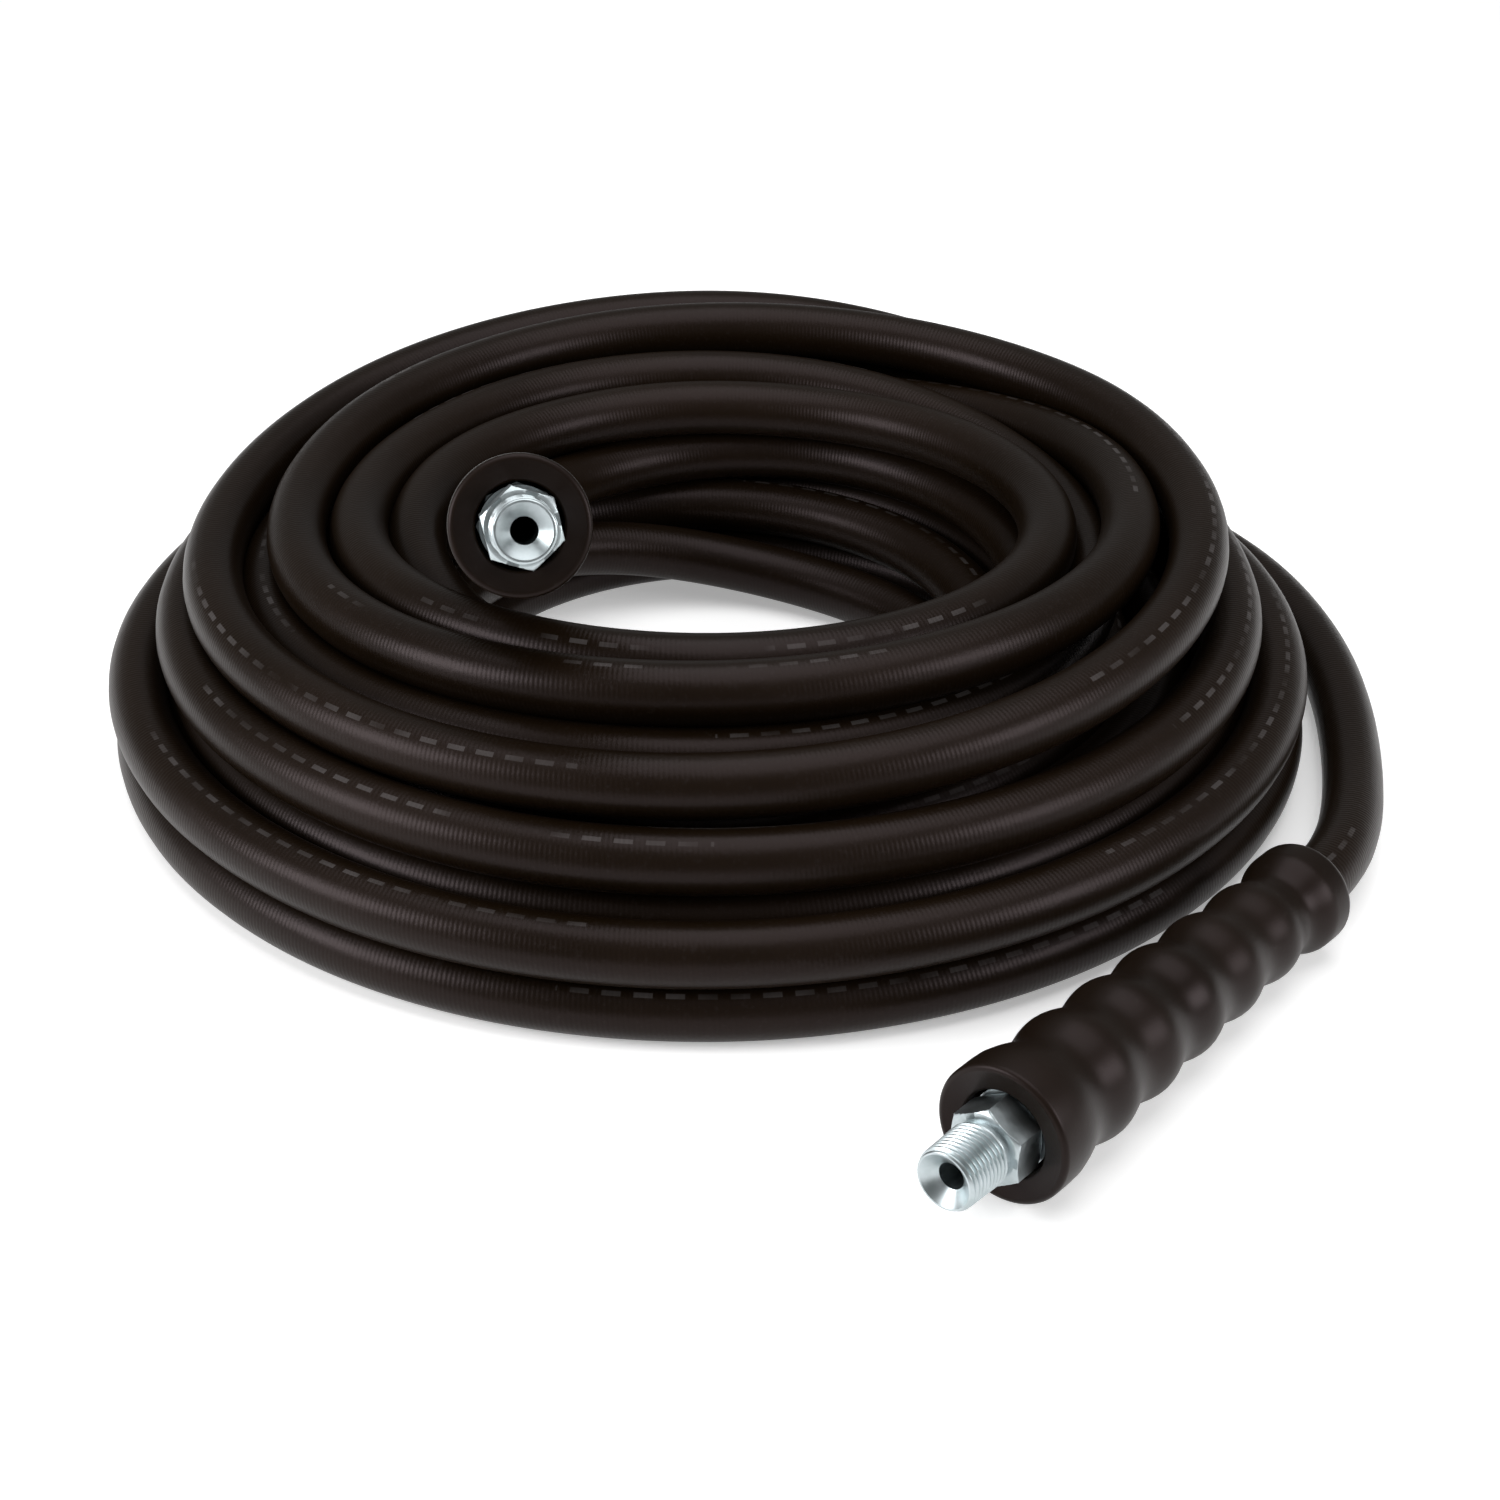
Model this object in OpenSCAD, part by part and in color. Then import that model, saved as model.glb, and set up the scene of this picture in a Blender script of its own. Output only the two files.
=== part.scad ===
// Coiled wire-braid hydraulic hose with a rubber bend restrictor and a threaded steel
// fitting on each end. One fitting is fixed, the other one swivels.
// Origin: middle of the footprint, on the standing surface. +Z up, -Y towards the fixed end.

/* [Hose] */
// Outside diameter of the rubber cover
hose_od = 17.4; // [15:0.1:19]
// Bore of the inner tube
hose_bore = 9.5; // [8:0.1:10]
// Wall of the inner tube
tube_wall = 1.7; // [1.2:0.1:2]
// Thickness of the wire braid
braid_wall = 0.8; // [0.5:0.1:1]

/* [Coil] */
// Middle of the coil, across
coil_x = -11.5; // [-30:0.5:30]
// Middle of the coil, front to back
coil_y = 27; // [0:1:60]
// Centre-line radius of the outermost turns
outer_turn_r = 171; // [165:1:180]
// Centre-line radius of the innermost turns
inner_turn_r = 85; // [80:1:95]
// Centre-line radius of the outermost turn in the third layer
third_outer_r = 155; // [150:1:165]
// Centre-line radius of the innermost turn in the top layer
top_inner_r = 103; // [98:1:112]
// Centre-line radius of the outermost turn in the top layer
top_outer_r = 145; // [140:1:150]
// Height of the top layer, where turns cross over a lower one
top_layer_h = 27; // [18:1:34]

/* [Grip] */
// Length of the bend restrictor
grip_len = 144; // [120:1:160]
// Diameter of its rim at the fitting side
grip_od = 37; // [34:0.1:42]
// Diameter over the ribs, carried on to the hose side
rib_od_back = 25.2; // [23:0.1:28]
// Diameter over the ribs, carried on to the fitting side
rib_od_front = 37; // [32:0.1:37]
// Depth of the grooves between ribs
groove_depth = 1.9; // [1:0.1:2.4]
// Number of grooves
groove_count = 6; // [4:1:7]
// Length of the collar at the hose side, down to the first groove
collar_len = 18; // [14:1:22]
// Diameter of the collar
collar_od = 29.2; // [28:0.1:32]
// Length of the plain rim at the fitting side
rim_len = 10; // [7:0.5:12]

/* [Fitting] */
// Hexagon across its flats
hex_af = 19; // [18:0.1:19.2]
// Hexagon height on the fixed fitting
hex_len = 10; // [8:0.5:14]
// Outside diameter of the male thread
thread_od = 17.1; // [16.5:0.1:17.2]
// Length of the male thread
thread_len = 16; // [14:0.5:18]
// Through bore of both fittings
fitting_bore = 7; // [6:0.1:7.5]
// Diameter over the crimped ferrule
ferrule_od = 22; // [21:0.1:22.4]
// Length of the crimped ferrule
ferrule_len = 36; // [30:1:40]

/* [Swivel] */
// Hexagon height on the swivel fitting
swivel_hex_len = 18; // [17:0.5:24]
// Diameter of the spigot that the swivel body turns on
spigot_d = 11.9; // [11:0.1:12]
// Length of the spigot
spigot_len = 15; // [14:0.5:15.5]
// Running clearance of the spigot on radius
swivel_gap = 0.05; // [0.02:0.01:0.1]

/* [Placement] */
// Heading of the fixed fitting, seen from above
front_heading = 231; // [225:1:235]
// Rise of the fixed fitting above level, as the tapered restrictor lies on its side
front_rise = 1.6; // [1:0.05:1.6]
// Heading of the swivel fitting, seen from above
swivel_heading = -83; // [-90:0.5:-75]
// Rise of the swivel fitting above level
swivel_rise = 23.5; // [20:0.5:30]
// Turn of the swivel body on its spigot
swivel_turn = 11.5; // [0:0.5:60]

/* [Hidden] */
$fn = 96;

hose_r = hose_od / 2;
layer_h = hose_od;
grip_r = grip_od / 2;
bore_r = fitting_bore / 2;
thread_r = thread_od / 2;
hex_r = hex_af / sqrt(3);
tube_in_r = hose_bore / 2;
tube_out_r = tube_in_r + tube_wall;
braid_out_r = tube_out_r + braid_wall;
fit_gap = 0.05;
neck_r = 6;

// Stations along an end fitting, measured outward from the hose side of its grip
ferrule_end = grip_len - 4;
ferrule_start = ferrule_end - ferrule_len;
hose_end = ferrule_end - 3;
shank_start = ferrule_start + 2;
hex_start = grip_len - 3;
pocket_r = hex_r + 0.45;
washer_h = 0.8;
swivel_start = hex_start + 2;
spigot_r = spigot_d / 2;
seal_r = 0.75;
seal_pocket_h = 2.6;

// Swivel stem: where the spigot starts, and the rings along it
spigot_base = swivel_start - washer_h - 0.2;
lock_z = swivel_start + 3;
seal_z = swivel_start + 9;

// The hose leaves each grip here, straight at first
front_exit = [150.3, -95.4, collar_od / 2 + 0.02];
swivel_exit = [-73.3, 43.6, 61.7];
straight_len = 3;

// Direction out of an end fitting
function fitting_axis(heading, rise) =
    [cos(rise) * cos(heading), cos(rise) * sin(heading), sin(rise)];

// Free run from the fixed grip: round the right, along the floor behind the coil, then up
// onto the second layer
front_route = [
    front_exit, front_exit - straight_len * fitting_axis(front_heading, front_rise),
    [158.7, -83.7, 14], [164.3, -71.5, 13], [168.7, -57, 11.6], [173, -39.5, 10.2], [177, -16.5, 9.2],
    [180, 6, 8.7], [181, 29, 8.7], [179.5, 51, 8.7], [176, 73, 8.7], [170.5, 94.5, 8.7],
    [162, 115, 8.7], [150.5, 134, 8.7], [136, 151, 8.7], [118.5, 167, 8.7], [94, 185, 8.7],
    [60, 204, 9], [21, 216, 11.5], [-19, 219, 16.5], [-60, 209, 22.5], [-102, 183, 26],
    [-135, 150, 26.5], [-160, 112, 26.2]];

// Free run from the swivel grip: down inside the coil and into its inner wall
swivel_route = [
    swivel_exit, swivel_exit - straight_len * fitting_axis(swivel_heading, swivel_rise),
    [-74, 58.5, 55.7], [-72, 72.5, 50.9], [-66.5, 87, 46.9], [-58, 100, 43.9],
    [-46, 112, 43.5], [-31, 121.5, 43.5], [-15, 127, 43.5]];

// ---- helpers -------------------------------------------------------------------

// Places children on an end fitting: local +Z runs out of the fitting
module on_front() {
    translate(front_exit) rotate([0, 90 - front_rise, front_heading]) children();
}

module on_swivel() {
    translate(swivel_exit) rotate([0, 90 - swivel_rise, swivel_heading]) children();
}

// A pipe along local Z
module pipe(r_out, r_in, z0, z1) {
    translate([0, 0, z0])
        difference() {
            cylinder(r = r_out, h = z1 - z0);
            translate([0, 0, -1]) cylinder(r = r_in, h = z1 - z0 + 2);
        }
}

function unit(v) = v / norm(v);

function heading_at(route, i) =
    unit(route[min(i + 1, len(route) - 1)] - route[max(i - 1, 0)]);

// One ring of a swept tube: a circle square to the route
function ring_at(route, i, r, sides) =
    let (ahead = heading_at(route, i),
         side = unit(cross(ahead, [0, 0, 1])),
         top = cross(side, ahead))
    [for (k = [0:sides - 1])
        let (a = 360 * k / sides)
        route[i] + r * cos(a) * side + r * sin(a) * top];

module swept_tube(route, r, sides = 12) {
    rings = len(route);
    points = [for (i = [0:rings - 1]) each ring_at(route, i, r, sides)];
    walls = [for (i = [0:rings - 2]) for (k = [0:sides - 1])
        let (a = i * sides + k, b = i * sides + (k + 1) % sides)
        [a, a + sides, b + sides, b]];
    first_cap = [for (k = [0:sides - 1]) k];
    last_cap = [for (k = [sides - 1:-1:0]) (rings - 1) * sides + k];
    polyhedron(points = points, faces = concat(walls, [first_cap, last_cap]), convexity = 6);
}

// A ring-shaped stack of turns with rounded-off corners
module turn_stack(r_in, r_out, z0, h) {
    bevel = hose_r * 0.45;
    translate([coil_x, coil_y, z0])
        rotate_extrude($fn = 180)
            polygon([
                [r_in + bevel, 0], [r_out - bevel, 0], [r_out, bevel], [r_out, h - bevel],
                [r_out - bevel, h], [r_in + bevel, h], [r_in, h - bevel], [r_in, bevel]]);
}

// ---- hose ----------------------------------------------------------------------

module hose_coil_base() {
    color([0.06, 0.05, 0.05])
        turn_stack(inner_turn_r - hose_r, outer_turn_r + hose_r, 0, 2 * layer_h);
}

module hose_coil_middle() {
    color([0.07, 0.06, 0.06])
        turn_stack(inner_turn_r - hose_r, third_outer_r + hose_r, 2 * layer_h, layer_h);
}

module hose_coil_top() {
    color([0.08, 0.07, 0.07])
        turn_stack(top_inner_r - hose_r, top_outer_r + hose_r, 3 * layer_h, top_layer_h);
}

module hose_tail_front() {
    color([0.07, 0.06, 0.06]) swept_tube(front_route, hose_r);
}

module hose_tail_swivel() {
    color([0.07, 0.06, 0.06]) swept_tube(swivel_route, hose_r);
}

// ---- pieces that both ends share -----------------------------------------------

// Radius of the ribbed outside at a distance from the hose side
function rib_r(z) =
    let (pitch = (grip_len - collar_len) / groove_count,
         crest_r = (rib_od_back + (rib_od_front - rib_od_back) * z / grip_len) / 2)
    crest_r - groove_depth / 2 * (1 + cos(360 * (z - collar_len) / pitch));

// Tapered and ribbed outside, hose hole, and a pocket for the ferrule and the hexagon
module grip() {
    steps = groove_count * 8;
    edge = 1.2;
    collar_edge = 2;
    collar_flat = collar_len * 0.55;
    rim_flare = 3;
    outline = [for (i = [0:steps])
        let (z = collar_len + (grip_len - collar_len) * i / steps)
        if (z <= grip_len - rim_len - rim_flare) [rib_r(z), z]];
    difference() {
        rotate_extrude()
            polygon(concat(
                [[0, 0], [collar_od / 2 - collar_edge, 0], [collar_od / 2, collar_edge],
                 [collar_od / 2, collar_flat]],
                outline,
                [[grip_r, grip_len - rim_len], [grip_r, grip_len - edge],
                 [grip_r - edge, grip_len], [0, grip_len]]));
        translate([0, 0, -1]) cylinder(r = hose_r + fit_gap, h = grip_len + 2);
        translate([0, 0, ferrule_start - 0.5])
            cylinder(r = pocket_r, h = grip_len - ferrule_start + 2);
    }
}

// Crimped shell: an eight-flat squeeze over a round sleeve, with a turned-in lip
module ferrule() {
    crimp_start = 6;
    crimp_len = ferrule_len - 14;
    lip_r = neck_r + 0.1;
    difference() {
        union() {
            translate([0, 0, ferrule_start]) cylinder(r = ferrule_od / 2 - 0.6, h = ferrule_len);
            translate([0, 0, ferrule_start + crimp_start])
                cylinder(r = ferrule_od / 2, h = crimp_len, $fn = 8);
        }
        translate([0, 0, ferrule_start - 1])
            cylinder(r = hose_r + fit_gap, h = hose_end + 1 - ferrule_start);
        translate([0, 0, hose_end]) cylinder(r = lip_r, h = ferrule_end - hose_end + 1);
    }
}

module inner_tube() {
    pipe(tube_out_r, tube_in_r, 0, hose_end);
}

module wire_braid() {
    pipe(braid_out_r, tube_out_r, 0, hose_end);
}

module cover() {
    pipe(hose_r, braid_out_r, 0, hose_end);
}

// Shank that the ferrule squeezes the hose onto, with barb grooves
module barbed_shank(top) {
    barb_pitch = 5;
    barb_count = 5;
    barb_depth = 0.45;
    first_barb = shank_start + 4;
    groove_len = 2;
    difference() {
        union() {
            translate([0, 0, shank_start]) cylinder(r = tube_in_r - fit_gap, h = top - shank_start);
            translate([0, 0, hose_end + 0.2]) cylinder(r = neck_r, h = top - hose_end - 0.2);
        }
        for (i = [0:barb_count - 1])
            pipe(tube_in_r + 0.2, tube_in_r - barb_depth, first_barb + i * barb_pitch,
                 first_barb + groove_len + i * barb_pitch);
    }
}

// Hexagon with both rims chamfered
module hexagon(z0, h) {
    chamfer = 0.9;
    intersection() {
        translate([0, 0, z0]) cylinder(r = hex_r, h = h, $fn = 6);
        translate([0, 0, z0])
            rotate_extrude()
                polygon([
                    [0, 0], [hex_af / 2, 0], [hex_r, chamfer], [hex_r, h - chamfer],
                    [hex_af / 2, h], [0, h]]);
    }
}

// Threaded nose: relief neck, thread at its full diameter and a lead-in
module nose(z0) {
    neck = 1.2;
    lead = 1.2;
    root_r = thread_r - 1;
    overlap = 0.1;
    translate([0, 0, z0])
        rotate_extrude()
            polygon([
                [0, -overlap], [root_r, -overlap], [root_r, neck], [thread_r, neck + 0.6],
                [thread_r, thread_len - lead], [root_r + 0.2, thread_len], [0, thread_len]]);
}

// Through bore that opens into a cone seat at the tip
module flow_way(z0, tip) {
    seat_r = thread_r - 1.5;
    seat_depth = 3;
    translate([0, 0, z0 - 1]) cylinder(r = bore_r, h = tip - z0 + 2);
    translate([0, 0, tip - seat_depth])
        cylinder(r1 = bore_r, r2 = seat_r, h = seat_depth);
    translate([0, 0, tip]) cylinder(r = seat_r, h = 1);
}

// ---- fixed end -----------------------------------------------------------------

module front_grip() { color([0.08, 0.07, 0.06]) on_front() grip(); }
module front_ferrule() { color([0.75, 0.77, 0.8]) on_front() ferrule(); }
module front_inner_tube() { color([0.05, 0.05, 0.05]) on_front() inner_tube(); }
module front_wire_braid() { color([0.7, 0.66, 0.5]) on_front() wire_braid(); }
module front_cover() { color([0.07, 0.06, 0.06]) on_front() cover(); }

module front_stem() {
    nose_start = hex_start + hex_len;
    tip = nose_start + thread_len;
    color([0.75, 0.77, 0.8])
        on_front()
            difference() {
                union() {
                    barbed_shank(hex_start + 0.1);
                    hexagon(hex_start, hex_len);
                    nose(nose_start);
                }
                flow_way(shank_start, tip);
            }
}

// ---- swivel end ----------------------------------------------------------------

module swivel_grip() { color([0.08, 0.07, 0.06]) on_swivel() grip(); }
module swivel_ferrule() { color([0.75, 0.77, 0.8]) on_swivel() ferrule(); }
module swivel_inner_tube() { color([0.05, 0.05, 0.05]) on_swivel() inner_tube(); }
module swivel_wire_braid() { color([0.7, 0.66, 0.5]) on_swivel() wire_braid(); }
module swivel_cover() { color([0.07, 0.06, 0.06]) on_swivel() cover(); }

// Insert, shoulder and the spigot with its lock-ring and seal grooves
module swivel_stem() {
    shoulder_h = 1;
    shoulder_r = 9;
    ring_half = seal_r + 0.05;
    color([0.75, 0.77, 0.8])
        on_swivel()
            difference() {
                union() {
                    barbed_shank(spigot_base);
                    translate([0, 0, spigot_base - shoulder_h]) cylinder(r = shoulder_r, h = shoulder_h);
                    translate([0, 0, spigot_base - 0.1])
                        cylinder(r = spigot_r, h = swivel_start - spigot_base + spigot_len + 0.1);
                }
                pipe(spigot_r + 1, spigot_r - seal_r - 0.1, lock_z - ring_half, lock_z + ring_half);
                pipe(spigot_r + 1, spigot_r + swivel_gap - 2 * seal_r - fit_gap, seal_z,
                     seal_z + seal_pocket_h);
                translate([0, 0, shank_start - 1])
                    cylinder(r = bore_r, h = swivel_start + spigot_len - shank_start + 2);
            }
}

// Turning half: hexagon and male thread round the spigot
module swivel_body() {
    nose_start = swivel_start + swivel_hex_len;
    tip = nose_start + thread_len;
    socket_r = spigot_r + swivel_gap;
    ring_half = seal_r + 0.05;
    color([0.75, 0.77, 0.8])
        on_swivel()
            difference() {
                union() {
                    rotate([0, 0, swivel_turn]) hexagon(swivel_start, swivel_hex_len);
                    nose(nose_start);
                }
                translate([0, 0, swivel_start - 1]) cylinder(r = socket_r, h = spigot_len + 1.5);
                pipe(socket_r + seal_r + 0.1, socket_r - 0.5, lock_z - ring_half, lock_z + ring_half);
                flow_way(swivel_start, tip);
            }
}

// Ring of round wire
module wire_ring(r, wire_r, z) {
    translate([0, 0, z]) rotate_extrude() translate([r, 0]) circle(r = wire_r, $fn = 32);
}

module swivel_o_ring() {
    slack = 0.03;
    color([0.1, 0.1, 0.1])
        on_swivel()
            wire_ring(spigot_r + swivel_gap - seal_r - slack, seal_r - slack, seal_z + seal_r);
}

module swivel_backup_ring() {
    top = seal_z + seal_pocket_h - 0.1;
    ring_h = 0.8;
    outer_r = spigot_r + swivel_gap;
    color([0.9, 0.9, 0.85])
        on_swivel()
            pipe(outer_r - fit_gap, outer_r - 2 * seal_r + fit_gap, top - ring_h, top);
}

module swivel_lock_ring() {
    color([0.6, 0.62, 0.65]) on_swivel() wire_ring(spigot_r, seal_r - 0.05, lock_z);
}

module swivel_thrust_washer() {
    washer_r = 8.8;
    base = spigot_base + 0.1;
    color([0.85, 0.75, 0.45]) on_swivel() pipe(washer_r, spigot_r + swivel_gap, base, base + washer_h);
}

hose_coil_base();
hose_coil_middle();
hose_coil_top();
hose_tail_front();
hose_tail_swivel();
front_grip();
front_ferrule();
front_stem();
front_inner_tube();
front_wire_braid();
front_cover();
swivel_grip();
swivel_ferrule();
swivel_stem();
swivel_inner_tube();
swivel_wire_braid();
swivel_cover();
swivel_body();
swivel_o_ring();
swivel_backup_ring();
swivel_lock_ring();
swivel_thrust_washer();
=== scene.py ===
"""Looks of the coiled hydraulic hose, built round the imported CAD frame.

One continuous hose, a ribbed rubber bend restrictor on each end, and two threaded steel fittings.
Metres, in the frame's axes: +Z up, -Y towards the fixed fitting.
"""

import math

import bpy
import numpy as np
from mathutils import Matrix, Vector


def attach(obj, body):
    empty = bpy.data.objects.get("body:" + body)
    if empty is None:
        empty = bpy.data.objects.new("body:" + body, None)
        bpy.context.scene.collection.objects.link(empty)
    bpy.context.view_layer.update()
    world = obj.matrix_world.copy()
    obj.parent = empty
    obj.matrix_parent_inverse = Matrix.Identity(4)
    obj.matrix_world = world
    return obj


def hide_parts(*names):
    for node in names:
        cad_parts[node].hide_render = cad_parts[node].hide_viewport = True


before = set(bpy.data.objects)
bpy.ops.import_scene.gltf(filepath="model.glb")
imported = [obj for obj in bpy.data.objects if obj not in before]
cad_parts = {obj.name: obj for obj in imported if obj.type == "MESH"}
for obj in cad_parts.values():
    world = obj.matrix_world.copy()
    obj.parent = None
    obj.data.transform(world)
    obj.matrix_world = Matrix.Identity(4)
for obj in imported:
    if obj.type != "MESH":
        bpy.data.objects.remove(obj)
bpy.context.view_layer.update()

MM = 0.001

# ---- driving sizes, the same as in the CAD source ------------------------------------------------

HOSE_R = 8.7 * MM
COIL_X = -11.5 * MM
COIL_Y = 29 * MM
TOP_COIL_Y = 33 * MM
LAYER_1, LAYER_2 = 8.7 * MM, 26.1 * MM

GRIP_LEN = 144 * MM
RIM_R = 18.5 * MM
RIM_LEN = 10 * MM
RIB_R_BACK = 12.6 * MM
RIB_R_FRONT = 18.5 * MM
GROOVE_DEPTH = 1.9 * MM
GROOVE_COUNT = 6
COLLAR_LEN = 18 * MM
COLLAR_R = 14.6 * MM

HEX_AF = 19 * MM
HEX_CORNER_R = HEX_AF / math.sqrt(3)
HEX_START = GRIP_LEN - 3 * MM
FIXED_HEX_LEN = 10 * MM
SWIVEL_HEX_START = HEX_START + 2 * MM
SWIVEL_HEX_LEN = 18 * MM
THREAD_R = 8.55 * MM
THREAD_LEN = 16 * MM
THREAD_PITCH = 25.4 / 18 * MM
BORE_R = 3.5 * MM
SHANK_START = GRIP_LEN - 38 * MM
SHANK_R = 4.7 * MM
FERRULE_START = GRIP_LEN - 40 * MM
FERRULE_END = GRIP_LEN - 4 * MM
SOCKET_R = 6 * MM
SOCKET_LEN = 15.5 * MM
LOCK_RING_Z = SWIVEL_HEX_START + 3 * MM
LOCK_GROOVE_LEN = 1.6 * MM
LOCK_GROOVE_R = 6.85 * MM

STRAIGHT_LEN = 3 * MM
FRONT_EXIT = (0.1503, -0.0954, 0.01462)
FRONT_HEADING = 231
FRONT_RISE = 1.6
SWIVEL_EXIT = (-0.0733, 0.0436, 0.0617)
SWIVEL_HEADING = -83
SWIVEL_RISE = 23.5
SWIVEL_TURN = 11.5


# ---- camera --------------------------------------------------------------------------------------

def make_camera():
    data = bpy.data.cameras.new("camera")
    data.lens = 68.5
    data.sensor_width = 36
    camera = bpy.data.objects.new("camera", data)
    camera.location = (0.0009, -0.740, 0.4334)
    camera.rotation_euler = (math.radians(59.8), 0, 0)
    bpy.context.scene.collection.objects.link(camera)
    bpy.context.scene.camera = camera


make_camera()


# ---- curves --------------------------------------------------------------------------------------

def monotone_cubic(x, y, at):
    """The curve through (x, y) that never overshoots its points, read at each value of at."""
    gap = np.diff(x)[:, None]
    slope = np.diff(y, axis=0) / gap
    tangent = np.zeros_like(y)
    same_way = slope[:-1] * slope[1:] > 0
    total = np.where(same_way, slope[:-1] + slope[1:], 1)
    tangent[1:-1] = np.where(same_way, 2 * slope[:-1] * slope[1:] / total, 0)
    i = np.clip(np.searchsorted(x, at) - 1, 0, len(gap) - 1)
    t = ((at - x[i]) / gap[i, 0])[:, None]
    reach = gap[i]
    from_start = (2 * t**3 - 3 * t**2 + 1) * y[i] + (t**3 - 2 * t**2 + t) * reach * tangent[i]
    from_end = (3 * t**2 - 2 * t**3) * y[i + 1] + (t**3 - t**2) * reach * tangent[i + 1]
    return from_start + from_end


def through_points(points, per_span):
    """Catmull-Rom curve through the points."""
    points = np.asarray(points, float)
    padded = np.concatenate([points[:1], points, points[-1:]])
    p0, p1, p2, p3 = (padded[k:len(padded) - 3 + k, None, :] for k in range(4))
    t = (np.arange(per_span) / per_span)[None, :, None]
    spans = 0.5 * (2 * p1 + (p2 - p0) * t + (2 * p0 - 5 * p1 + 4 * p2 - p3) * t**2
                   + (3 * p1 - p0 - 3 * p2 + p3) * t**3)
    return np.concatenate([spans.reshape(-1, 3), points[-1:]])


def lengths_along(points):
    steps = np.linalg.norm(np.diff(points, axis=0), axis=1)
    return np.concatenate([[0], np.cumsum(steps)])


def evenly_spaced(points, spacing):
    along = lengths_along(points)
    at = np.linspace(0, along[-1], int(round(along[-1] / spacing)) + 1)
    return np.stack([np.interp(at, along, points[:, k]) for k in range(3)], 1)


# ---- the hose's course ---------------------------------------------------------------------------

def fitting_axis(heading, rise):
    """Direction out of an end fitting."""
    heading, rise = math.radians(heading), math.radians(rise)
    level = math.cos(rise)
    return np.array([level * math.cos(heading), level * math.sin(heading), math.sin(rise)])


def start_of_bend(exit_point, heading, rise):
    """The hose runs straight out of its bend restrictor as far as here."""
    return tuple(np.array(exit_point) - STRAIGHT_LEN * fitting_axis(heading, rise))


# From the swivel fitting down to the inner wall of the coil
SWIVEL_ROUTE = [
    SWIVEL_EXIT, start_of_bend(SWIVEL_EXIT, SWIVEL_HEADING, SWIVEL_RISE),
    (-0.074, 0.0585, 0.0557), (-0.072, 0.0725, 0.0509), (-0.0665, 0.087, 0.0469),
    (-0.058, 0.1, 0.0439), (-0.046, 0.112, 0.0435), (-0.031, 0.1215, 0.0435),
    (-0.015, 0.127, 0.0435)]

# From the second layer down behind the coil, round the right, and into the fixed end
FRONT_ROUTE = [
    (-0.16, 0.112, 0.0262), (-0.135, 0.15, 0.0265), (-0.102, 0.183, 0.026),
    (-0.06, 0.209, 0.0225), (-0.019, 0.219, 0.0165), (0.021, 0.216, 0.0115),
    (0.06, 0.204, 0.009), (0.094, 0.185, 0.0087), (0.1185, 0.167, 0.0087),
    (0.136, 0.151, 0.0087), (0.1505, 0.134, 0.0087), (0.162, 0.115, 0.0087),
    (0.1705, 0.0945, 0.0087), (0.176, 0.073, 0.0087), (0.1795, 0.051, 0.0087),
    (0.181, 0.029, 0.0087), (0.18, 0.006, 0.0087), (0.177, -0.0165, 0.0092),
    (0.173, -0.0395, 0.0102), (0.1687, -0.057, 0.0116), (0.1643, -0.0715, 0.013),
    (0.1587, -0.0837, 0.014),
    start_of_bend(FRONT_EXIT, FRONT_HEADING, FRONT_RISE), FRONT_EXIT]

# A back quarter that lies half way between its neighbours
BETWEEN = None


def flat_turns(radii_mm, z_mm):
    """Whole turns that lie in one layer: right, front, left, then back."""
    quarters = []
    for r in radii_mm:
        quarters += [(r, z_mm)] * 3 + [BETWEEN]
    return quarters


def coil_nodes():
    """Turns made since the first back quarter, and (radius, height) in mm there.

    Each row is one turn: back, right, front, left. The hose runs clockwise seen from above.
    """
    low, second = LAYER_1 / MM, LAYER_2 / MM
    quarters = [
        (100, 43.5), (97, 43.5), (94, 53), (89, 62),
        (92, 59), (101, 64), (103, 69.5), (102, 64),
        (117, 60), (116, 55), (127, 56.5), (131, 51),
        (131, 50), (124, 64), (122, 70), (123, 64),
        (139, 69), (145, 66), (148, 59), (147, 57),
        (155, 66), (156, 42), (157, 44.2), (155, 44),
        (158, 51)]
    quarters += flat_turns([154, 136.5, 119], second)
    quarters += [(102, second)] * 3 + [(96, second)] + [(85, second)] * 3
    comes_down = len(quarters)
    quarters += [(79.5, 12.5), (80, low), (84, low), (90, low), (97, low)]
    quarters += flat_turns([102, 119, 136.5, 154], low)
    quarters += [(171, low), (170, low), (166, low), (172, 17.4)]
    quarters += [(170, second), (172, 25.8), (170, second), (172, 24)]
    nodes = []
    for i, quarter in enumerate(quarters):
        if quarter is BETWEEN:
            quarter = [(a + b) / 2 for a, b in zip(quarters[i - 1], quarters[i + 1])]
        nodes.append((i, *quarter))
    nodes += [(0.3, 102, 43.5), (comes_down - 0.6, 84.5, 23.5), (comes_down - 0.3, 83, 18),
              (comes_down + 0.35, 75.5, low)]
    return np.array(sorted(nodes))


def smooth_step(low, high, value):
    t = np.clip((value - low) / (high - low), 0, 1)
    return t * t * (3 - 2 * t)


def coil_course():
    """The turns, less the quarters at both ends that the free runs take over."""
    nodes = coil_nodes()
    last = nodes[-1, 0]
    swivel_run_ends = 0.12
    front_run_starts = last - 0.82
    steps_per_quarter = 60
    at = np.linspace(swivel_run_ends, front_run_starts, int(last) * steps_per_quarter)
    radius, height = monotone_cubic(nodes[:, 0], nodes[:, 1:] * MM, at).T
    angle = np.pi / 2 * (1 - at)
    centre_y = COIL_Y + (TOP_COIL_Y - COIL_Y) * smooth_step(44 * MM, 62 * MM, height)
    return np.stack([COIL_X + radius * np.cos(angle), centre_y + radius * np.sin(angle), height], 1)


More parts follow.
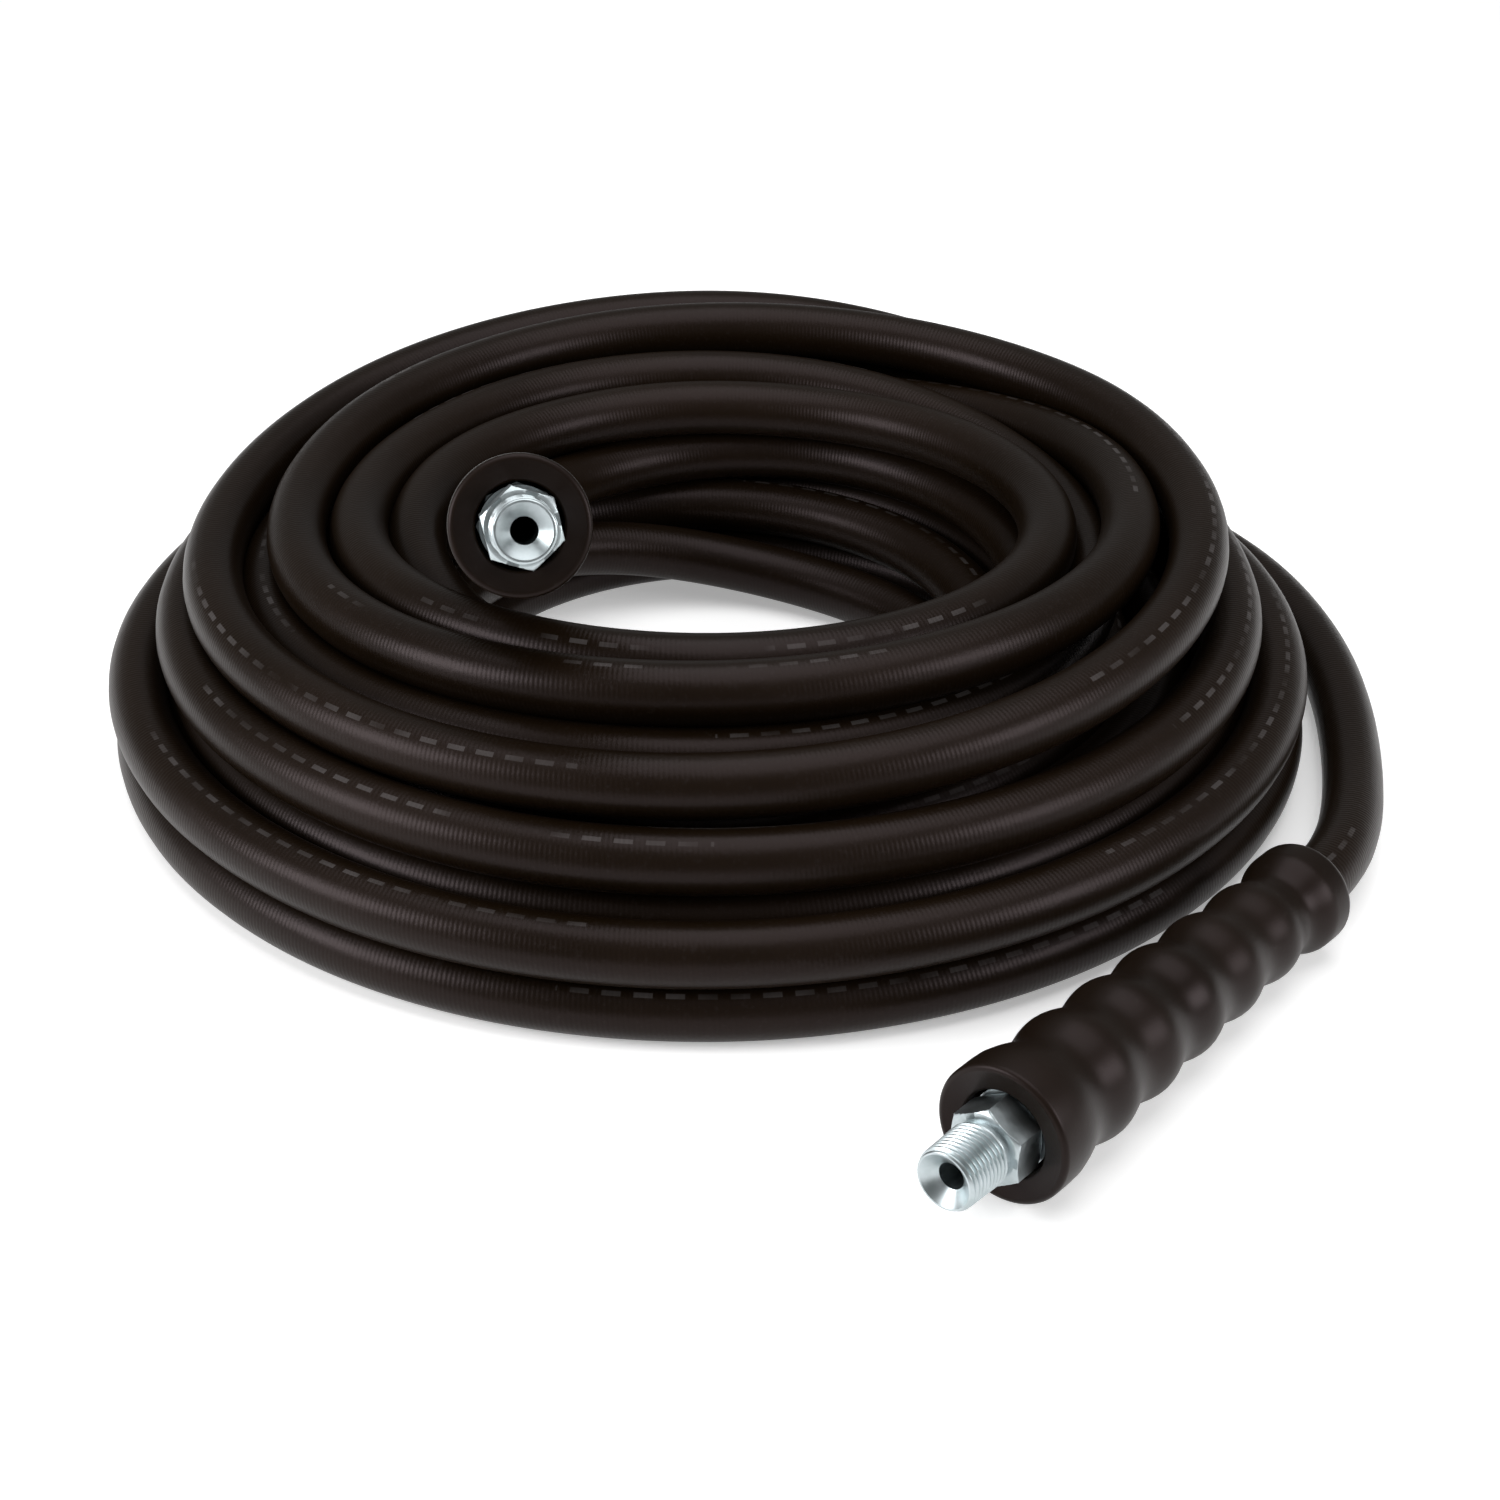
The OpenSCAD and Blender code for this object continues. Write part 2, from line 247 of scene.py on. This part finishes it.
def close_pairs(points, apart, skip):
    """Index pairs of points nearer than apart that are more than skip steps from each other."""
    firsts, seconds = [], []
    block = 200
    for start in range(0, len(points), block):
        offset = points[start:start + block, None, :] - points[None, :, :]
        i, j = np.nonzero(np.einsum("ijk,ijk->ij", offset, offset) < apart**2)
        i = i + start
        ahead = j > i + skip
        firsts.append(i[ahead])
        seconds.append(j[ahead])
    return np.concatenate(firsts), np.concatenate(seconds)


def clear_of_swivel_grip(points):
    """How far each point must move for the hose not to run into the swivel's bend restrictor."""
    axis = fitting_axis(SWIVEL_HEADING, SWIVEL_RISE)
    from_exit = points - np.array(SWIVEL_EXIT)
    along = np.clip(from_exit @ axis, 0, GRIP_LEN)
    away = from_exit - along[:, None] * axis
    distance = np.linalg.norm(away, axis=1)
    grip_r = np.maximum(RIB_R_BACK + (RIB_R_FRONT - RIB_R_BACK) * along / GRIP_LEN, COLLAR_R)
    short = np.clip(HOSE_R + grip_r + 0.5 * MM - distance, 0, None)
    return (short / distance)[:, None] * away


def settle(points, spacing):
    """Pushes strands apart until they only touch, and keeps the hose smooth and on the floor."""
    home = points.copy()
    diameter = 2 * HOSE_R
    rounds = 60
    rounds_per_search = 10
    search_margin = 7 * MM
    home_pull = 0.02
    own_neighbours = int(2.2 * diameter / spacing)
    held = 3  # points at each end that stay where the fitting wants them
    inside_grip = 24  # first points, which have to be near the restrictor
    for turn in range(rounds):
        if turn % rounds_per_search == 0:
            i, j = close_pairs(points, diameter + search_margin, own_neighbours)
        between = points[i] - points[j]
        gap = np.linalg.norm(between, axis=1)
        touching = gap < diameter
        shove = (((diameter - gap) / 2 / gap)[:, None] * between)[touching]
        push = np.zeros_like(points)
        count = np.zeros(len(points))
        for index, sign in ((i[touching], 1), (j[touching], -1)):
            np.add.at(push, index, sign * shove)
            np.add.at(count, index, 1)
        points = points + push / np.maximum(count, 1)[:, None]
        points[inside_grip:] += clear_of_swivel_grip(points[inside_grip:])
        for reach in (1, 3):
            near = points[reach:-3 * reach] + points[3 * reach:-reach]
            smoothed = (4 * near - points[:-4 * reach] - points[4 * reach:]) / 6
            points[2 * reach:-2 * reach] += 0.5 * (smoothed - points[2 * reach:-2 * reach])
        points[:, 2] = np.maximum(points[:, 2], HOSE_R)
        points += home_pull * (home - points)
        points[:held] = home[:held]
        points[-held:] = home[-held:]
    return points


def hose_course():
    spacing = 5 * MM
    rough = np.concatenate([
        through_points(SWIVEL_ROUTE, 8)[:-1], coil_course(), through_points(FRONT_ROUTE, 8)[1:]])
    return through_points(settle(evenly_spaced(rough, spacing), spacing), 2)


# ---- meshes --------------------------------------------------------------------------------------

def new_object(name, verts, faces, material, crease_angle=35):
    mesh = bpy.data.meshes.new(name)
    mesh.from_pydata([tuple(v) for v in verts], [], faces)
    mesh.validate()
    mesh.polygons.foreach_set("use_smooth", [True] * len(mesh.polygons))
    mesh.set_sharp_from_angle(angle=math.radians(crease_angle))
    mesh.materials.append(material)
    obj = bpy.data.objects.new(name, mesh)
    bpy.context.scene.collection.objects.link(obj)
    return obj


def ring_faces(rings, sides, closed):
    """Quads between successive rings, and from the last back to the first when closed."""
    faces = []
    for a in range(rings if closed else rings - 1):
        b = (a + 1) % rings
        for k in range(sides):
            n = (k + 1) % sides
            faces.append((a * sides + k, a * sides + n, b * sides + n, b * sides + k))
    return faces


def tube_mesh(name, path, radius, sides, material):
    """A round tube along a path, with its length in metres and its way round as UV."""
    ahead = np.gradient(path, axis=0)
    ahead /= np.linalg.norm(ahead, axis=1)[:, None]
    side = np.cross(ahead, (0, 0, 1))
    side /= np.linalg.norm(side, axis=1)[:, None]
    top = np.cross(side, ahead)
    turn = 2 * np.pi * np.arange(sides) / sides
    verts = (path[:, None, :] + radius * (np.cos(turn)[None, :, None] * side[:, None, :]
                                          + np.sin(turn)[None, :, None] * top[:, None, :]))
    rings = len(path)
    faces = [tuple(reversed(f)) for f in ring_faces(rings, sides, closed=False)]
    faces.append(tuple(range(sides)))
    faces.append(tuple(reversed(range((rings - 1) * sides, rings * sides))))
    obj = new_object(name, verts.reshape(-1, 3), faces, material, crease_angle=60)
    along = lengths_along(path)
    uv = obj.data.uv_layers.new(name="hose")
    for polygon in obj.data.polygons:
        indices = [obj.data.loops[i].vertex_index for i in polygon.loop_indices]
        wraps = max(v % sides for v in indices) - min(v % sides for v in indices) > sides / 2
        for i, v in zip(polygon.loop_indices, indices):
            k = v % sides
            if wraps and k == 0:
                k = sides
            uv.data[i].uv = (along[v // sides], k / sides)
    return obj


def placed(obj, matrix, body):
    obj.data.transform(matrix)
    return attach(obj, body)


def fitting_frame(exit_point, heading, rise):
    """Local +Z runs out of the fitting, from the hose side of its bend restrictor."""
    return (Matrix.Translation(exit_point) @ Matrix.Rotation(math.radians(heading), 4, "Z")
            @ Matrix.Rotation(math.radians(90 - rise), 4, "Y"))


def turned(name, stations, sides, material, crease_angle=35):
    """A closed surface from stations (z, radius), where radius is a number or a function of the angle."""
    verts = []
    for z, radius in stations:
        for k in range(sides):
            angle = 2 * math.pi * k / sides
            r = radius(angle) if callable(radius) else radius
            verts.append((r * math.cos(angle), r * math.sin(angle), z))
    return new_object(name, verts, ring_faces(len(stations), sides, closed=True), material, crease_angle)


def arc_points(centre_z, centre_r, radius, start, end, steps):
    """Stations along a rounded edge. Angles in degrees, 0 outward and 90 towards +Z."""
    stations = []
    for i in range(steps + 1):
        a = math.radians(start + (end - start) * i / steps)
        stations.append((centre_z + radius * math.sin(a), centre_r + radius * math.cos(a)))
    return stations


# ---- bend restrictor -----------------------------------------------------------------------------

def rib_r(z):
    pitch = (GRIP_LEN - COLLAR_LEN) / GROOVE_COUNT
    crest_r = RIB_R_BACK + (RIB_R_FRONT - RIB_R_BACK) * z / GRIP_LEN
    return crest_r - GROOVE_DEPTH / 2 * (1 + math.cos(2 * math.pi * (z - COLLAR_LEN) / pitch))


def grip_stations():
    edge = 1.4 * MM
    collar_edge = 3 * MM
    flare = 3 * MM
    lip_w = 1.1 * MM
    face_z = GRIP_LEN - 0.6 * MM
    pocket_r = HEX_CORNER_R + 0.5 * MM
    hose_hole = HOSE_R + 0.05 * MM
    stations = [(0.6 * MM, hose_hole), (0, hose_hole + 0.6 * MM)]
    stations += arc_points(collar_edge, COLLAR_R - collar_edge, collar_edge, -90, 0, 8)
    fall_start = COLLAR_LEN * 0.45
    fall_steps = 12
    for i in range(fall_steps):
        t = i / fall_steps
        drop = (COLLAR_R - rib_r(COLLAR_LEN)) * (1 - math.cos(math.pi * t)) / 2
        stations.append((fall_start + (COLLAR_LEN - fall_start) * t, COLLAR_R - drop))
    steps = GROOVE_COUNT * 14
    for i in range(steps + 1):
        z = COLLAR_LEN + (GRIP_LEN - COLLAR_LEN) * i / steps
        if z <= GRIP_LEN - RIM_LEN - flare:
            stations.append((z, rib_r(z)))
    stations += [(GRIP_LEN - RIM_LEN, RIM_R - 0.15 * MM), (GRIP_LEN - 0.7 * RIM_LEN, RIM_R)]
    stations += arc_points(GRIP_LEN - edge, RIM_R - edge, edge, 0, 90, 6)
    stations += [(GRIP_LEN, RIM_R - edge - 0.3 * MM), (face_z, RIM_R - edge - lip_w),
                 (face_z, pocket_r + 0.8 * MM), (face_z - 0.8 * MM, pocket_r),
                 (FERRULE_START - 0.5 * MM, pocket_r), (FERRULE_START - 0.5 * MM, hose_hole)]
    return stations


# ---- steel fittings ------------------------------------------------------------------------------

def hexagon(limit):
    """Radius of the hexagon at an angle, cut back to limit where its corners are chamfered."""
    def radius(angle):
        from_flat = (angle + math.pi / 6) % (math.pi / 3) - math.pi / 6
        flat = HEX_AF / 2 / math.cos(abs(from_flat) - math.pi / 6)
        return min(flat, limit)
    return radius


def hexagon_stations(start, length):
    """Hexagon with both rims chamfered at about 30 degrees."""
    chamfer = 0.9 * MM
    steps = 6
    low, high = HEX_AF / 2, HEX_CORNER_R
    rim = [(chamfer * i / steps, low + (high - low) * i / steps) for i in range(steps + 1)]
    bottom = [(start + dz, hexagon(r)) for dz, r in rim]
    top = [(start + length - dz, hexagon(r)) for dz, r in reversed(rim)]
    return bottom + top


def thread_stations(start):
    """Relief neck, then a tapered 60 degree pipe thread that runs out at both ends."""
    neck = 1.2 * MM
    lead = 1.3 * MM
    depth = 0.95 * MM
    root_r = THREAD_R - depth
    stations = [(start, THREAD_R - 1 * MM), (start + neck, THREAD_R - 1 * MM)]
    step = THREAD_PITCH / 12
    count = int((THREAD_LEN - neck) / step)

    def tooth(z):
        """Radius at a height, as a function of the angle."""
        from_neck = min(1, (z - start - neck) / THREAD_PITCH)
        to_tip = min(1, (start + THREAD_LEN - z) / lead)
        taper = (z - start) / 40  # on radius, a little less than a pipe thread has

        def radius(angle):
            turn = (z / THREAD_PITCH - angle / (2 * math.pi)) % 1
            height = min(1, max(0, 1.29 - 2.58 * abs(turn - 0.5)))
            crest = root_r + depth * min(from_neck, 0.35 + 0.65 * to_tip) * height
            return crest - taper
        return radius

    stations += [(start + neck + step * (i + 1), tooth(start + neck + step * (i + 1)))
                 for i in range(count)]
    return stations


def mouth_stations(tip):
    """Rounded tip edge and the cone that the mating nose seats in, down to the bore."""
    seat_r = THREAD_R - 1.5 * MM
    return [(tip, seat_r + 0.45 * MM), (tip, seat_r), (tip - 0.25 * MM, seat_r - 0.25 * MM),
            (tip - 3 * MM, BORE_R)]


def shank_stations(base):
    """Barbed shank inside the hose, up to the hexagon."""
    barb = 0.4 * MM
    barb_len = 2 * MM
    barb_pitch = 5 * MM
    first_barb = SHANK_START + 4 * MM
    neck_start = FERRULE_END - 2.8 * MM
    neck_r = 6 * MM
    stations = [(SHANK_START, BORE_R), (SHANK_START, SHANK_R - barb), (SHANK_START + 0.6 * MM, SHANK_R)]
    for i in range(5):
        z = first_barb + i * barb_pitch
        stations += [(z, SHANK_R), (z, SHANK_R - barb), (z + barb_len, SHANK_R)]
    return stations + [(neck_start, SHANK_R), (neck_start, neck_r), (base, neck_r)]


def fixed_fitting_stations():
    nose = HEX_START + FIXED_HEX_LEN
    return (shank_stations(HEX_START) + hexagon_stations(HEX_START, FIXED_HEX_LEN)
            + thread_stations(nose) + mouth_stations(nose + THREAD_LEN))


def swivel_fitting_stations():
    """The turning half: socket with the lock ring's groove, hexagon, thread and mouth."""
    nose = SWIVEL_HEX_START + SWIVEL_HEX_LEN
    socket_end = SWIVEL_HEX_START + SOCKET_LEN
    edge = 0.3 * MM
    groove_low = LOCK_RING_Z - LOCK_GROOVE_LEN / 2
    groove_high = LOCK_RING_Z + LOCK_GROOVE_LEN / 2
    socket = [(socket_end, BORE_R), (socket_end, SOCKET_R),
              (groove_high, SOCKET_R), (groove_high, LOCK_GROOVE_R),
              (groove_low, LOCK_GROOVE_R), (groove_low, SOCKET_R),
              (SWIVEL_HEX_START + edge, SOCKET_R), (SWIVEL_HEX_START, SOCKET_R + edge)]
    return (socket + hexagon_stations(SWIVEL_HEX_START, SWIVEL_HEX_LEN)
            + thread_stations(nose) + mouth_stations(nose + THREAD_LEN))


# ---- materials -----------------------------------------------------------------------------------

class Shader:
    """A Principled material with short ways to add and join nodes."""

    def __init__(self, name, roughness, metallic=0.0):
        self.material = bpy.data.materials.new(name)
        self.material.use_nodes = True
        self.tree = self.material.node_tree
        self.surface = self.tree.nodes["Principled BSDF"]
        self.surface.inputs["Roughness"].default_value = roughness
        self.surface.inputs["Metallic"].default_value = metallic
        if not metallic:
            self.surface.inputs["Specular IOR Level"].default_value = 0.15
            self.surface.inputs["Specular Tint"].default_value = (1.0, 0.82, 0.86, 1)

    def add(self, kind, inputs=None, **settings):
        node = self.tree.nodes.new(kind)
        for key, value in settings.items():
            setattr(node, key, value)
        for key, value in (inputs or {}).items():
            if isinstance(value, bpy.types.NodeSocket):
                self.tree.links.new(value, node.inputs[key])
            else:
                node.inputs[key].default_value = value
        return node

    def place(self):
        return self.add("ShaderNodeTexCoord").outputs["Object"]

    def math(self, operation, a, b=0.0, c=0.0):
        return self.add("ShaderNodeMath", {0: a, 1: b, 2: c}, operation=operation).outputs[0]

    def noise(self, where, scale, detail=3.0, roughness=0.55):
        inputs = {"Vector": where, "Scale": scale, "Detail": detail, "Roughness": roughness}
        return self.add("ShaderNodeTexNoise", inputs).outputs["Fac"]

    def spread(self, value, low, high, to_low=0.0, to_high=1.0):
        inputs = {"Value": value, 1: low, 2: high, 3: to_low, 4: to_high}
        return self.add("ShaderNodeMapRange", inputs, clamp=True).outputs[0]

    def blend(self, factor, first, second):
        node = self.add("ShaderNodeMix", data_type="RGBA")
        for index, value in ((0, factor), (6, first), (7, second)):
            if isinstance(value, bpy.types.NodeSocket):
                self.tree.links.new(value, node.inputs[index])
            elif index == 0:
                node.inputs[index].default_value = value
            else:
                node.inputs[index].default_value = (*value, 1)
        return node.outputs[2]

    def bump(self, height, distance, strength):
        inputs = {"Height": height, "Distance": distance, "Strength": strength}
        return self.add("ShaderNodeBump", inputs).outputs["Normal"]

    def finish(self, colour, roughness=None, normal=None):
        links = self.tree.links
        links.new(colour, self.surface.inputs["Base Color"])
        if roughness is not None:
            links.new(roughness, self.surface.inputs["Roughness"])
        if normal is not None:
            links.new(normal, self.surface.inputs["Normal"])
        return self.material


def hose_rubber():
    """Brown-black cover with the fine print of the cloth it was cured in, and a faint broken lay line."""
    s = Shader("hose_rubber", 0.36)
    uv = s.add("ShaderNodeUVMap", uv_map="hose").outputs[0]
    parts = s.add("ShaderNodeSeparateXYZ", {0: uv})
    along, around = parts.outputs[0], parts.outputs[1]
    place = s.place()
    wrap_pitch = 1.3 * MM
    lead = s.math("MULTIPLY_ADD", around, wrap_pitch * 3, along)
    wave = s.math("SINE", s.math("MULTIPLY", lead, 2 * math.pi / wrap_pitch))
    weave = s.noise(place, 700, 3)
    print_height = s.math("MULTIPLY_ADD", wave, 0.25, weave)
    patches = s.noise(place, 14, 4)
    colour = s.blend(s.spread(patches, 0.35, 0.7), (0.0048, 0.0025, 0.0007), (0.0072, 0.0039, 0.0016))
    colour = s.blend(s.spread(weave, 0.58, 0.8, 0, 0.25), colour, (0.024, 0.020, 0.019))
    wander = s.math("MULTIPLY_ADD", s.math("SINE", s.math("MULTIPLY", along, 2.1)), 0.04, 0.31)
    off_line = s.math("ABSOLUTE", s.math("SUBTRACT", around, wander))
    on_line = s.math("LESS_THAN", off_line, 0.013)
    dash = s.math("LESS_THAN", s.math("FRACT", s.math("MULTIPLY", along, 1 / (8 * MM))), 0.6)
    group = s.math("LESS_THAN", s.math("FRACT", s.math("MULTIPLY", along, 1 / 0.31)), 0.55)
    worn = s.spread(s.noise(place, 30, 2), 0.38, 0.62)
    line = s.math("MULTIPLY", s.math("MULTIPLY", on_line, dash), s.math("MULTIPLY", group, worn))
    colour = s.blend(s.math("MULTIPLY", line, 0.28), colour, (0.14, 0.13, 0.13))
    roughness = s.spread(patches, 0.3, 0.75, 0.33, 0.42)
    return s.finish(colour, roughness, s.bump(print_height, 0.12 * MM, 0.45))


def grip_rubber():
    """Moulded restrictor: satin, slightly browner, with faint handling marks."""
    s = Shader("grip_rubber", 0.38)
    place = s.place()
    patches = s.noise(place, 35, 4)
    grain = s.noise(place, 1500, 2)
    colour = s.blend(s.spread(patches, 0.35, 0.7), (0.0052, 0.0029, 0.0014), (0.0078, 0.0046, 0.0026))
    dust = s.spread(s.noise(place, 260, 5, 0.7), 0.62, 0.8, 0, 0.25)
    colour = s.blend(dust, colour, (0.035, 0.031, 0.028))
    roughness = s.spread(patches, 0.3, 0.75, 0.34, 0.44)
    return s.finish(colour, roughness, s.bump(grain, 0.05 * MM, 0.35))


def zinc_steel():
    """Bright zinc plate over turned steel."""
    s = Shader("zinc_steel", 0.36, 1.0)
    place = s.place()
    cloud = s.noise(place, 160, 3)
    marks = s.noise(place, 1100, 3)
    colour = s.blend(s.spread(cloud, 0.35, 0.7), (0.35, 0.40, 0.41), (0.50, 0.55, 0.57))
    roughness = s.spread(cloud, 0.3, 0.75, 0.30, 0.42)
    return s.finish(colour, roughness, s.bump(marks, 0.02 * MM, 0.35))


def plain_rubber(name, dark, light, roughness):
    s = Shader(name, roughness)
    place = s.place()
    patches = s.noise(place, 120, 4)
    colour = s.blend(s.spread(patches, 0.35, 0.7), dark, light)
    return s.finish(colour, s.spread(patches, 0.3, 0.7, roughness - 0.05, roughness + 0.08),
                    s.bump(s.noise(place, 1800, 2), 0.03 * MM, 0.4))


def braid_wire():
    """Brass-coated steel wires, which cross both ways, drawn here as diagonal bands that run one way."""
    s = Shader("braid_wire", 0.35, 1.0)
    place = s.place()
    first = s.add("ShaderNodeTexWave", {"Vector": place, "Scale": 260.0, "Distortion": 0.6},
                  bands_direction="DIAGONAL").outputs["Fac"]
    weave = s.math("ADD", first, s.noise(place, 700, 2))
    # The colour follows the weave's height: the darker brass in its low parts is painted shade between
    # the wires, and the added noise varies the tone at random.
    colour = s.blend(s.spread(weave, 0.6, 1.3), (0.28, 0.22, 0.11), (0.72, 0.60, 0.34))
    return s.finish(colour, s.spread(weave, 0.5, 1.4, 0.45, 0.28), s.bump(weave, 0.15 * MM, 0.6))


def plain_metal(name, dark, light, roughness):
    s = Shader(name, roughness, 1.0)
    place = s.place()
    cloud = s.noise(place, 400, 3)
    colour = s.blend(s.spread(cloud, 0.35, 0.7), dark, light)
    return s.finish(colour, s.spread(cloud, 0.3, 0.7, roughness - 0.06, roughness + 0.08),
                    s.bump(s.noise(place, 3000, 2), 0.01 * MM, 0.4))


def floor_white():
    s = Shader("floor_white", 0.7)
    s.surface.inputs["Emission Color"].default_value = (1, 1, 1, 1)
    s.surface.inputs["Emission Strength"].default_value = 0.35
    place = s.place()
    colour = s.blend(s.noise(place, 3, 2), (0.90, 0.90, 0.90), (0.93, 0.93, 0.93))
    return s.finish(colour)


HOSE_RUBBER = hose_rubber()
GRIP_RUBBER = grip_rubber()
ZINC = zinc_steel()
COVER_RUBBER = plain_rubber("cover_rubber", (0.0125, 0.010, 0.0085), (0.0215, 0.018, 0.0165), 0.45)
INNER = {
    "ferrule": ZINC,
    "stem": ZINC,
    "inner_tube": plain_rubber("tube_rubber", (0.008, 0.008, 0.008), (0.016, 0.016, 0.016), 0.55),
    "wire_braid": braid_wire(),
    "cover": COVER_RUBBER,
    "o_ring": plain_rubber("seal_rubber", (0.006, 0.006, 0.006), (0.012, 0.012, 0.012), 0.3),
    "backup_ring": plain_rubber("backup_plastic", (0.72, 0.70, 0.64), (0.82, 0.80, 0.76), 0.35),
    "lock_ring": plain_metal("ring_steel", (0.34, 0.34, 0.35), (0.50, 0.50, 0.52), 0.3),
    "thrust_washer": plain_metal("washer_brass", (0.60, 0.46, 0.20), (0.78, 0.62, 0.32), 0.3),
}


# ---- the hose ------------------------------------------------------------------------------------

course = hose_course()
hose = tube_mesh("hose", course, HOSE_R, 24, HOSE_RUBBER)
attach(hose, "hose")
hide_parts("hose_coil_base", "hose_coil_middle", "hose_coil_top", "hose_tail_front",
            "hose_tail_swivel")


# ---- ends ----------------------------------------------------------------------------------------

def make_end(prefix, matrix):
    grip = turned(prefix + "_bend_restrictor", grip_stations(), 96, GRIP_RUBBER, crease_angle=50)
    placed(grip, matrix, "hose")
    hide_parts(prefix + "_grip")
    return grip


front_frame = fitting_frame(FRONT_EXIT, FRONT_HEADING, FRONT_RISE)
swivel_frame = fitting_frame(SWIVEL_EXIT, SWIVEL_HEADING, SWIVEL_RISE)
front_grip = make_end("front", front_frame)
swivel_grip = make_end("swivel", swivel_frame)

front_fitting = turned("front_fitting", fixed_fitting_stations(), 96, ZINC)
placed(front_fitting, front_frame, "hose")
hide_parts("front_stem")

swivel_fitting = turned("swivel_fitting", swivel_fitting_stations(), 96, ZINC)
placed(swivel_fitting, swivel_frame @ Matrix.Rotation(math.radians(SWIVEL_TURN), 4, "Z"), "swivel")
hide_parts("swivel_body")

for node_name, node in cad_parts.items():
    for ending, material in INNER.items():
        if node_name.endswith(ending):
            node.data.materials.clear()
            node.data.materials.append(material)
            node.data.polygons.foreach_set("use_smooth", [True] * len(node.data.polygons))


# ---- stage ---------------------------------------------------------------------------------------

def make_floor():
    half = 12.0
    corners = [(-half, -half, 0), (half, -half, 0), (half, half, 0), (-half, half, 0)]
    floor = new_object("floor", corners, [(0, 1, 2, 3)], floor_white())


def area_light(name, place, target, size, power):
    data = bpy.data.lights.new(name, "AREA")
    data.shape = "RECTANGLE"
    data.size, data.size_y = size
    data.energy = power
    light = bpy.data.objects.new(name, data)
    light.location = place
    light.rotation_euler = (Vector(target) - Vector(place)).to_track_quat("-Z", "Y").to_euler()
    bpy.context.scene.collection.objects.link(light)


def make_world():
    world = bpy.data.worlds.new("studio")
    world.use_nodes = True
    background = world.node_tree.nodes["Background"]
    background.inputs["Color"].default_value = (1, 1, 1, 1)
    background.inputs["Strength"].default_value = 0.25
    bpy.context.scene.world = world
    bpy.context.scene.view_settings.view_transform = "Standard"


make_floor()
make_world()
middle = (0, 0, 0.03)
area_light("overhead", (0.05, 0.05, 1.2), middle, (1.3, 1.2), 12)
area_light("right", (1.0, -0.5, 0.5), middle, (0.6, 0.5), 7)
area_light("left", (-1.0, -0.4, 0.5), middle, (0.6, 0.5), 10)
